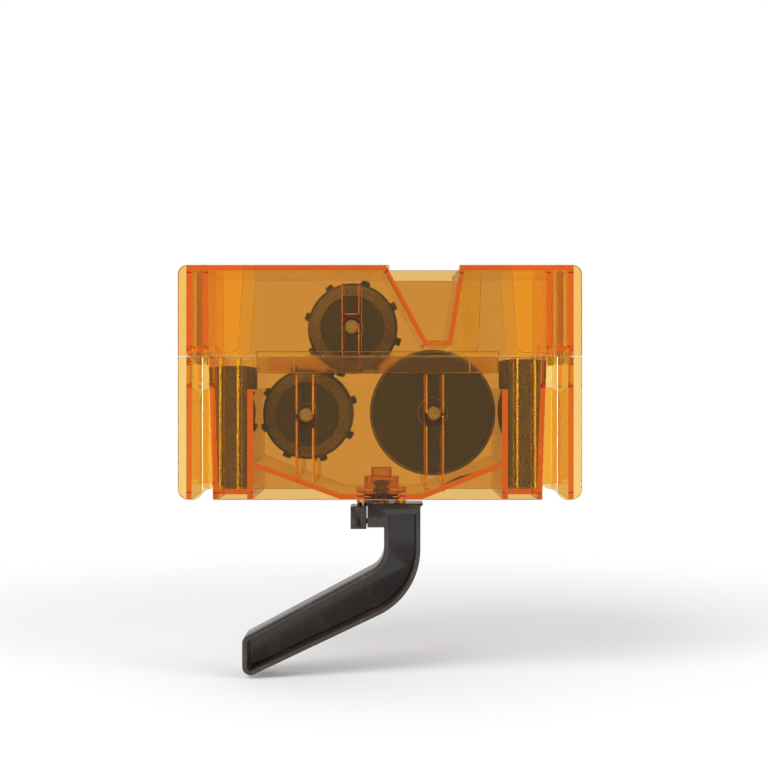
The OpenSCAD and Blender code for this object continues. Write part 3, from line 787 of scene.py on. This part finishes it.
def bristle_tree(place_of_strand, inputs):
    """A geometry tree that stands strands at the places and along the ways that place_of_strand gives."""
    group = bpy.data.node_groups.new("tufts", "GeometryNodeTree")
    tree = Tree(group)
    for key, value in inputs.items():
        group.interface.new_socket(name=key, in_out="INPUT", socket_type=SOCKET_KINDS[type(value)])
    group.interface.new_socket(name="Geometry", in_out="OUTPUT", socket_type="NodeSocketGeometry")
    given = tree.node("NodeGroupInput")
    index = tree.node("GeometryNodeInputIndex")["Index"]
    tuft = (index / given["Strands in a tuft"]).floor()

    def chance(salt, low, high):
        sockets = {2: low, 3: high, "ID": index, "Seed": given["Seed"] + salt}
        return tree.node("FunctionNodeRandomValue", sockets, data_type="FLOAT")[1]

    spread = chance(1, 0.0, 1.0) ** 0.5 * given["Tuft radius"]
    turn = chance(2, 0.0, 2 * math.pi)
    place, way = place_of_strand(tree, given, tuft, spread * turn.cos(), spread * turn.sin(), chance)
    points = tree.node("GeometryNodePoints", {"Count": given["Strands"], "Position": place})[0]
    strand = tree.node("GeometryNodeMeshCone", {
        "Vertices": STRAND_SIDES,
        "Side Segments": 1,
        "Radius Top": given["Strand radius"] * STRAND_TIP,
        "Radius Bottom": given["Strand radius"],
        "Depth": given["Strand length"],
    }, fill_type="TRIANGLE_FAN")["Mesh"]
    aim = tree.node("FunctionNodeAlignRotationToVector", {"Vector": way}, axis="Z")[0]
    stand = vector(tree, 1.0, 1.0, chance(5, SHORTEST, 1.0))
    copies = tree.node("GeometryNodeInstanceOnPoints", {
        "Points": points, "Instance": strand, "Rotation": aim, "Scale": stand})[0]
    whole = tree.node("GeometryNodeRealizeInstances", {"Geometry": copies})[0]
    dressed = tree.node("GeometryNodeSetMaterial", {"Geometry": whole, "Material": given["Finish"]})[0]
    tree.node("NodeGroupOutput", {"Geometry": dressed})
    return group


def vector(tree, x, y, z):
    """A vector from three numbers."""
    return tree.node("ShaderNodeCombineXYZ", {0: x, 1: y, 2: z})[0]


def tufts_round_core(tree, given, tuft, across, along, chance):
    """Tufts that stand out of a core about the Y axis, in rows along Y."""
    row = (tuft / TUFT_ANGLES).floor()
    angle = math.pi / 2 - given["Turn"] - tuft % TUFT_ANGLES * (2 * math.pi / TUFT_ANGLES)
    y = (row + 0.5) / TUFT_ROWS * 2 * TUFTS_HALF - TUFTS_HALF + along
    radius = given["Inner"]
    x = radius * angle.cos() - across * angle.sin()
    z = radius * angle.sin() + across * angle.cos()
    way = angle + chance(3, -LEAN, LEAN)
    return vector(tree, x, y, z), vector(tree, way.cos(), chance(4, -LEAN, LEAN), way.sin())


def tufts_on_disc(tree, given, tuft, across, along, chance):
    """Tufts that stand on a disc's face, spread between two radii, along Y."""
    angle = tuft * GOLDEN_ANGLE
    share = (tuft + 0.5) * given["Strands in a tuft"] / given["Strands"]
    inner = given["Inner"]
    outer = given["Outer"]
    radius = (inner * inner + share * (outer * outer - inner * inner)) ** 0.5
    x = radius * angle.cos() + across
    z = radius * angle.sin() + along
    way = vector(tree, chance(3, -LEAN, LEAN), given["Way"], chance(4, -LEAN, LEAN))
    return vector(tree, x, given["Root"], z), way


def grow(wheel, place_of_strand, inputs):
    """A wheel's tufts, grown by a geometry tree and moved to the wheel's axis as a plain mesh."""
    group = bristle_tree(place_of_strand, inputs)
    made = add_mesh("tufts", bpy.data.meshes.new("tufts"), inputs["Finish"])
    modifier = made.modifiers.new("tufts", "NODES")
    modifier.node_group = group
    sockets = {s.name: s.identifier for s in group.interface.items_tree if s.in_out == "INPUT"}
    for key, value in inputs.items():
        modifier[sockets[key]] = value
    apply_modifiers(made)
    x, z = axis_of(wheel)
    made.data.transform(Matrix.Translation((x, 0.0, z)))
    return made


# Operators

# Each lamp's name, the setting with its power, its place and its side in metres
LAMPS = (
    ("key", "key", (-0.45, -0.75, 0.75), 0.6),
    ("fill", "fill", (0.7, -0.6, 0.2), 0.7),
    ("left_side", "side", (-0.75, -0.32, 0.05), 0.3),
    ("right_side", "side", (0.75, -0.32, 0.05), 0.3),
)
# Bounces that light needs to come through the many clear walls and along their edges
WALLS_SEEN_THROUGH = 28
FLOOR_GAP = 1.5 * MM
FLOOR_SIDES = 96
# Shares of the floor's radius where it starts to fade and has faded
FLOOR_FADE = (0.45, 0.98)
# Cosines of the angle from the front where the surroundings' light starts to drop and has dropped
FRONT_EDGE = (0.55, 0.95)
# Width of the camera's sensor in millimetres, and the nearest that it sees in metres
SENSOR = 36.0
NEAREST = 0.01


class CLEANER_OT_stage(bpy.types.Operator):
    """Pale floor, white surroundings, soft lamps and the camera"""
    bl_idname = "cleaner.stage"
    bl_label = "Stage"

    def execute(self, context):
        settings = context.scene.cleaner_stage
        low = CAD_BOX[0]
        add_floor(settings, low[2] - FLOOR_GAP)
        add_sky(settings)
        for name, power, place, size in LAMPS:
            add_lamp(name, getattr(settings, power), place, size)
        add_camera(settings, low[1])
        context.scene.view_settings.view_transform = "Standard"
        for limit in ("max_bounces", "transmission_bounces", "glossy_bounces"):
            setattr(context.scene.cycles, limit, WALLS_SEEN_THROUGH)
        return {"FINISHED"}


def seen(tree):
    """1 for what the camera sees, also through clear plastic, and 0 for light and reflections."""
    path = tree.node("ShaderNodeLightPath")
    return (path["Is Camera Ray"] + path["Is Transmission Ray"]).least(1.0)


def add_floor(settings, z):
    """A round floor whose far edge fades into the white surroundings."""
    bm = bmesh.new()
    bmesh.ops.create_circle(bm, cap_ends=True, segments=FLOOR_SIDES, radius=settings.floor_radius,
                            matrix=Matrix.Translation((0.0, 0.0, z)))

    def build(tree):
        matt = tree.node("ShaderNodeBsdfDiffuse", {"Color": rgba(settings.floor)})[0]
        glow = tree.node("ShaderNodeEmission", {"Color": WHITE, "Strength": 1.0})[0]
        away = tree.node("ShaderNodeVectorMath", {0: place_of(tree)}, operation="LENGTH")["Value"]
        factor = tree.between(away, *(settings.floor_radius * share for share in FLOOR_FADE)) * seen(tree)
        return {"Surface": tree.node("ShaderNodeMixShader", {0: factor, 1: matt, 2: glow})[0]}

    floor = add_mesh("floor", mesh_from(bm), new_material("pale_floor", build))


def add_sky(settings):
    """White surroundings, seen at full white and lighting at their own strength."""
    world = bpy.data.worlds.new("white_room")
    bpy.context.scene.world = world
    world.use_nodes = True
    world.node_tree.nodes.clear()
    tree = Tree(world.node_tree)
    way = tree.node("ShaderNodeTexCoord")["Generated"]
    front = {0: way, 1: (0.0, -1.0, 0.0)}
    towards = tree.node("ShaderNodeVectorMath", front, operation="DOT_PRODUCT")["Value"]
    light = settings.sky * tree.between(towards, *FRONT_EDGE, 1.0, settings.front)
    share = seen(tree)
    strength = share + (1.0 - share) * light
    back = tree.node("ShaderNodeBackground", {"Color": WHITE, "Strength": strength})[0]
    tree.node("ShaderNodeOutputWorld", {"Surface": back})


def add_lamp(name, power, place, size):
    """A soft square lamp that looks at the box."""
    data = bpy.data.lights.new(name, "AREA")
    data.energy = power
    data.size = size
    lamp = add_object(name, data)
    lamp.location = place
    lamp.rotation_euler = (-Vector(place)).to_track_quat("-Z", "Y").to_euler()


def add_camera(settings, front_y):
    """The camera at the photograph's place, level and square to the box's front."""
    data = bpy.data.cameras.new("camera")
    data.sensor_width = SENSOR
    data.lens = data.sensor_width * settings.camera_distance / settings.picture_width
    data.clip_start = NEAREST
    camera = add_object("camera", data)
    camera.location = (settings.camera_x, front_y - settings.camera_distance, -settings.camera_drop)
    camera.rotation_euler = (math.radians(90), 0.0, 0.0)
    bpy.context.scene.camera = camera


class CLEANER_OT_shells(bpy.types.Operator):
    """Clear amber tank and lid with chamfered edges"""
    bl_idname = "cleaner.shells"
    bl_label = "Tank and lid"

    def execute(self, context):
        settings = context.scene.cleaner_shells
        shells = (
            ("tank", "tank_body", settings.lit_chamber, tank_zones),
            ("lid", "lid_body", settings.panel, lid_zones),
        )
        for node, body, full, zones in shells:
            finish = amber_plastic(settings, node, full, zones)
            bm = cad_copy(node)
            bm.edges.index_update()
            bm.edges.ensure_lookup_table()
            shell = add_mesh(node + "_shell", mesh_from(chamfered(bm, settings.edge)), finish)
            bm.free()
            smooth_but_sharp(shell.data, SHELL_CRISP)
            keep_flats_flat(shell.data)
            dress(shell, body, "clear_amber", node)
        add_skirt_lines(settings)
        return {"FINISHED"}


SKIRT_LINES = (-43.5 * MM, -31.8 * MM, 33.3 * MM)
SKIRT_LINE_W = 0.4 * MM
SKIRT_LINE_T = 0.25 * MM
SKIRT_FACE = 24.7 * MM
SKIRT_LOW = -1.8 * MM
SKIRT_HIGH = 3.8 * MM
RIDGE_ROUGH = 0.35


def add_skirt_lines(settings):
    """Fine upright ridges on the lid's skirt, opaque and pale: painted highlights where the grooves catch
    light.
    """
    bm = bmesh.new()
    for x in SKIRT_LINES:
        for side in (-1, 1):
            place = Vector((x, side * SKIRT_FACE, (SKIRT_LOW + SKIRT_HIGH) / 2))
            size = Matrix.Diagonal((SKIRT_LINE_W, SKIRT_LINE_T, SKIRT_HIGH - SKIRT_LOW, 1.0))
            bmesh.ops.create_cube(bm, size=1.0, matrix=Matrix.Translation(place) @ size)

    def build(tree):
        return tree.surface({"Base Color": rgba(settings.frost_and_highlight), "Roughness": RIDGE_ROUGH, "IOR": AMBER_IOR})

    lines = add_mesh("skirt_lines", mesh_from(bm), new_material("pale_ridge", build))
    dress(lines, "lid_body", "clear_amber")


class CLEANER_OT_small_wheels(bpy.types.Operator):
    """Upper and lower brush wheels: cheeks, core, tufts and axle"""
    bl_idname = "cleaner.small_wheels"
    bl_label = "Small brush wheels"

    def execute(self, context):
        settings = context.scene.cleaner_wheels
        for wheel in ("upper", "lower"):
            for side in WAYS:
                add_cheek(settings, wheel, side)
            add_small_brush(settings, wheel)
            add_axle(settings, wheel, radius_of(wheel + "_axle"))
        return {"FINISHED"}


def span_y(node):
    """Lowest and highest place of a node along Y."""
    low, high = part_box(node)
    return low[1], high[1]


def reach_y(node):
    """How near to the middle and how far from it a node on one side reaches along Y."""
    return sorted(abs(y) for y in span_y(node))


def radius_of(node):
    """Radius of a round node about an axis along Y."""
    low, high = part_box(node)
    return (high[0] - low[0]) / 2


HUB_RAISE = 0.6 * MM
CHEEK_T = 2.2 * MM
CHEEK_RIM_T = 2.6 * MM
CHEEK_RIM_STEP = 0.5 * MM
CHEEK_HUB_R = 4.2 * MM
FLAT_SHARE = 0.71
BEVEL_SHARE = 0.945
GROOVE_W = 0.5 * MM
GROOVE_D = 0.15 * MM
WAYS = {"front": -1, "rear": 1}


def groove(edge, face):
    """A turned groove in a face, a little inside the face's edge."""
    inner = edge - 3 * GROOVE_W
    outer = inner + GROOVE_W
    return [(outer, face), (outer, face - GROOVE_D), (inner, face - GROOVE_D), (inner, face)]


def add_cheek(settings, wheel, side):
    """A cheek of a small wheel: hub, flat with a turned groove, bevel and rim."""
    node = f"{wheel}_{side}_cheek"
    near, far = reach_y(node)
    flat = far - HUB_RAISE
    inside = flat - CHEEK_T
    bore = radius_of(wheel + "_axle")
    rim = radius_of(node)
    flat_r = rim * FLAT_SHARE
    bevel_r = rim * BEVEL_SHARE
    outline = [
        (bore, inside), (flat_r - CHEEK_T / 2, inside), (bevel_r - CHEEK_T / 2, near),
        (rim, near), (rim, near + CHEEK_RIM_T), (bevel_r, near + CHEEK_RIM_T + CHEEK_RIM_STEP),
        (flat_r, flat), *groove(flat_r, flat), (CHEEK_HUB_R, flat), (CHEEK_HUB_R, far), (bore, far),
    ]
    finish = wheel_plastic(settings, wheel, CHEEK_HUB_R, flat_r, bevel_r)
    cheek = turned_piece(node + "_turned", outline, wheel, finish, settings, WAYS[side])
    dress(cheek, wheel + "_wheel", "wheel_brown", node)


CORE_R = 7.5 * MM
TIP_OUT = 2.0 * MM
STRAND_ROOT = 0.5 * MM


def add_small_brush(settings, wheel):
    """Core of a small wheel with tufts of strands in rows."""
    node = wheel + "_bristles"
    low, high = span_y(node)
    half = (high - low) / 2
    bore = radius_of(wheel + "_axle")
    tip = radius_of(wheel + "_front_cheek") + TIP_OUT
    finish = bristle_nylon(settings)
    outline = [(bore, -half), (CORE_R, -half), (CORE_R, half), (bore, half)]
    core = turned_piece("core", outline, wheel, finish, settings)
    tufts = grow(wheel, tufts_round_core, {
        "Strands": TUFT_ANGLES * TUFT_ROWS * settings.tuft_strands,
        "Strands in a tuft": settings.tuft_strands,
        "Inner": CORE_R - STRAND_ROOT,
        "Tuft radius": TUFT_R,
        "Strand radius": settings.strand,
        "Strand length": tip - CORE_R + STRAND_ROOT,
        "Turn": getattr(settings, wheel + "_turn"),
        "Seed": 3,
        "Finish": finish,
    })
    brush = join_meshes([core, tufts], wheel + "_brush")
    dress(brush, wheel + "_wheel", "bristle", node)


AXLE_CHAMFER = 0.5 * MM
DIMPLE_R = 0.7 * MM
DIMPLE_D = 0.35 * MM
RING_R = 1.45 * MM
RING_W = 0.25 * MM
RING_D = 0.15 * MM


def end_marks(end, way):
    """Centre mark and turned ring in an axle's end, from the middle outwards."""
    return [
        (0.0, end + way * DIMPLE_D), (DIMPLE_R, end), (RING_R - RING_W, end),
        (RING_R - RING_W / 2, end + way * RING_D), (RING_R, end),
    ]


def add_axle(settings, wheel, radius, middle=()):
    """A wheel's axle with chamfered ends and centre marks, and what stands out in its middle."""
    node = wheel + "_axle"
    low, high = span_y(node)
    outline = [
        *end_marks(low, 1), (radius - AXLE_CHAMFER, low), (radius, low + AXLE_CHAMFER), *middle,
        (radius, high - AXLE_CHAMFER), (radius - AXLE_CHAMFER, high), *reversed(end_marks(high, -1)),
    ]
    axle = turned_piece(node + "_turned", outline, wheel, axle_plastic(settings), settings)
    dress(axle, wheel + "_wheel", "axle_grey", node)


class CLEANER_OT_large_wheel(bpy.types.Operator):
    """Large brush wheel: two discs, their bristles and the axle"""
    bl_idname = "cleaner.large_wheel"
    bl_label = "Large brush wheel"

    def execute(self, context):
        settings = context.scene.cleaner_wheels
        for side in WAYS:
            add_disc(settings, side)
            add_disc_brush(settings, side)
        end = reach_y("large_rear_disc")[0] - BACKING_T
        middle = ((SMALL_AXLE_R, -end), (LARGE_CORE_R, -end), (LARGE_CORE_R, end), (SMALL_AXLE_R, end))
        add_axle(settings, "large", SMALL_AXLE_R, middle)
        return {"FINISHED"}


LARGE_HUB_R = 5.7 * MM
LARGE_RIM_W = 1.1 * MM
LARGE_RIM_STEP = 0.7 * MM
LARGE_DISC_T = 2.6 * MM
SMALL_AXLE_R = 2.45 * MM
LARGE_CORE_R = 4.6 * MM
BACKING_T = 1.0 * MM
DISC_TUFTS = 150
DISC_TUFT_R = 0.7 * MM
DISC_TUFTS_IN = 4.0 * MM
DISC_TUFTS_OUT = 1.2 * MM


def add_disc(settings, side):
    """A disc of the large wheel: hub, face with a turned groove and stepped rim."""
    node = f"large_{side}_disc"
    near, hub = reach_y(node)
    face = near + LARGE_DISC_T
    rim = radius_of(node)
    step_r = rim - LARGE_RIM_W
    outline = [
        (SMALL_AXLE_R, near), (rim, near), (rim, face - LARGE_RIM_STEP), (step_r, face - LARGE_RIM_STEP),
        (step_r, face), *groove(step_r, face), (LARGE_HUB_R, face), (LARGE_HUB_R, hub), (SMALL_AXLE_R, hub),
    ]
    finish = wheel_plastic(settings, "large", LARGE_HUB_R, step_r, rim)
    disc = turned_piece(node + "_turned", outline, "large", finish, settings, WAYS[side])
    dress(disc, "large_wheel", "wheel_brown", node)


def add_disc_brush(settings, side):
    """Bristles of one disc on the thin plate that they are set in."""
    node = f"large_{side}_bristles"
    tips, back = reach_y(node)
    way = WAYS[side]
    root = back - BACKING_T / 2
    plate_r = radius_of(node)
    finish = bristle_nylon(settings)
    outline = [(LARGE_CORE_R - BACKING_T, back), (plate_r, back), (plate_r, back - BACKING_T),
               (LARGE_CORE_R - BACKING_T, back - BACKING_T)]
    plate = turned_piece("plate", outline, "large", finish, settings, way)
    tufts = grow("large", tufts_on_disc, {
        "Strands": DISC_TUFTS * settings.tuft_strands // 2,
        "Strands in a tuft": settings.tuft_strands // 2,
        "Inner": LARGE_CORE_R + DISC_TUFTS_IN,
        "Outer": plate_r - DISC_TUFTS_OUT,
        "Tuft radius": DISC_TUFT_R,
        "Strand radius": settings.strand,
        "Strand length": root - tips,
        "Root": way * root,
        "Way": float(-way),
        "Seed": 5,
        "Finish": finish,
    })
    brush = join_meshes([plate, tufts], f"large_{side}_brush")
    dress(brush, "large_wheel", "bristle", node)


class CLEANER_OT_sponges(bpy.types.Operator):
    """Grooved foam blocks at both ends"""
    bl_idname = "cleaner.sponges"
    bl_label = "Sponges"

    def execute(self, context):
        settings = context.scene.cleaner_sponges
        for node in ("left_sponge", "right_sponge"):
            add_sponge(settings, node)
        return {"FINISHED"}


SPONGE_EDGE = 0.7 * MM
SPONGE_GRID = 0.6 * MM
SPONGE_WAVE = 5 * MM
# Shares of the grain that are cut away everywhere, by the waves and by the pores
GRAIN_EVEN = 0.5
GRAIN_WAVES = 0.25
GRAIN_PORES = 0.6


def add_sponge(settings, node):
    """A foam block whose cut faces are uneven, a little inside its CAD solid."""
    finish = open_foam(settings)
    block = add_mesh(node + "_foam", mesh_from(cad_copy(node)), finish)
    soften(block, SPONGE_EDGE)
    remesh = block.modifiers.new("grid", "REMESH")
    remesh.mode = "VOXEL"
    remesh.voxel_size = SPONGE_GRID
    remesh.use_smooth_shade = True
    apply_modifiers(block)
    mesh = block.data
    normals = [Vector(vertex.normal) for vertex in mesh.vertices]
    for vertex, normal in zip(mesh.vertices, normals):
        coarse = noise.noise(vertex.co / SPONGE_WAVE)
        fine = noise.noise(vertex.co / settings.pore)
        inwards = settings.grain * (GRAIN_EVEN + GRAIN_WAVES * coarse + GRAIN_PORES * max(fine, 0.0))
        vertex.co -= normal * inwards
    mesh.materials.clear()
    mesh.materials.append(finish)
    dress(block, "tank_body", "foam", node)


# Each moulding's node, name and body, and the part of the handle's edge radius that it has
MOULDINGS = (
    ("handle", "handle_moulding", "handle_body", 2),
    ("thumb_catch", "catch_moulding", "catch_body", 3),
)
MOULDING_CRISP = 32.0


class CLEANER_OT_handle(bpy.types.Operator):
    """Handle, thumb catch and the catch's spring"""
    bl_idname = "cleaner.handle"
    bl_label = "Handle and catch"

    def execute(self, context):
        settings = context.scene.cleaner_handle
        finish = black_plastic(settings)
        for node, name, body, parts in MOULDINGS:
            moulding = add_mesh(name, mesh_from(cad_copy(node)), finish)
            soften(moulding, settings.edge / parts)
            smooth_but_sharp(moulding.data, MOULDING_CRISP)
            dress(moulding, body, "black_plastic", node)
        add_spring()
        return {"FINISHED"}


SPRING_TURNS = 3
SPRING_WIRE_R = 0.2 * MM
SPRING_POINTS = 24
SPRING_WIRE_STEPS = 3


def add_spring():
    """The catch's spring as a round wire along a helix."""
    low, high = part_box("catch_spring")
    centre = (Vector(low) + Vector(high)) / 2
    radius = (high[1] - low[1]) / 2 - SPRING_WIRE_R
    rise = high[2] - low[2] - 2 * SPRING_WIRE_R
    curve = bpy.data.curves.new("spring", "CURVE")
    curve.dimensions = "3D"
    curve.bevel_depth = SPRING_WIRE_R
    curve.bevel_resolution = SPRING_WIRE_STEPS
    curve.use_fill_caps = True
    line = curve.splines.new("POLY")
    count = SPRING_TURNS * SPRING_POINTS
    line.points.add(count)
    for i in range(count + 1):
        turn = 2 * math.pi * i / SPRING_POINTS
        z = low[2] + SPRING_WIRE_R + rise * i / count
        line.points[i].co = (centre.x + radius * math.cos(turn), centre.y + radius * math.sin(turn), z, 1.0)
    coil = add_object("spring", curve)
    mesh = final_mesh(coil)
    bpy.data.objects.remove(coil)
    mesh.shade_smooth()
    spring = add_mesh("catch_spring_wire", mesh, spring_steel())
    dress(spring, "handle_body", "spring_steel", "catch_spring")
    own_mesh(spring)


class CLEANER_PT_panel(bpy.types.Panel):
    """Lists the steps that dress the chain cleaner"""
    bl_idname = "CLEANER_PT_panel"
    bl_label = "Chain cleaner"
    bl_space_type = "VIEW_3D"
    bl_region_type = "UI"
    bl_category = "Cleaner"

    def draw(self, context):
        for step in OPERATORS:
            self.layout.operator(step.bl_idname)


GROUPS = {
    "cleaner_shells": ShellSettings,
    "cleaner_wheels": WheelSettings,
    "cleaner_sponges": SpongeSettings,
    "cleaner_handle": HandleSettings,
    "cleaner_stage": StageSettings,
}
OPERATORS = (
    CLEANER_OT_stage,
    CLEANER_OT_shells,
    CLEANER_OT_small_wheels,
    CLEANER_OT_large_wheel,
    CLEANER_OT_sponges,
    CLEANER_OT_handle,
)


def register():
    """Registers the settings, the operators and the panel."""
    for name, group in GROUPS.items():
        bpy.utils.register_class(group)
        setattr(bpy.types.Scene, name, PointerProperty(type=group))
    for step in OPERATORS:
        bpy.utils.register_class(step)
    bpy.utils.register_class(CLEANER_PT_panel)


def unregister():
    """Takes away what register added."""
    bpy.utils.unregister_class(CLEANER_PT_panel)
    for step in reversed(OPERATORS):
        bpy.utils.unregister_class(step)
    for name, group in GROUPS.items():
        delattr(bpy.types.Scene, name)
        bpy.utils.unregister_class(group)


def main():
    """Dresses the frame."""
    register()
    bpy.ops.cleaner.stage()
    bpy.ops.cleaner.shells()
    bpy.ops.cleaner.small_wheels()
    bpy.ops.cleaner.large_wheel()
    bpy.ops.cleaner.sponges()
    bpy.ops.cleaner.handle()


if __name__ == "__main__":
    main()
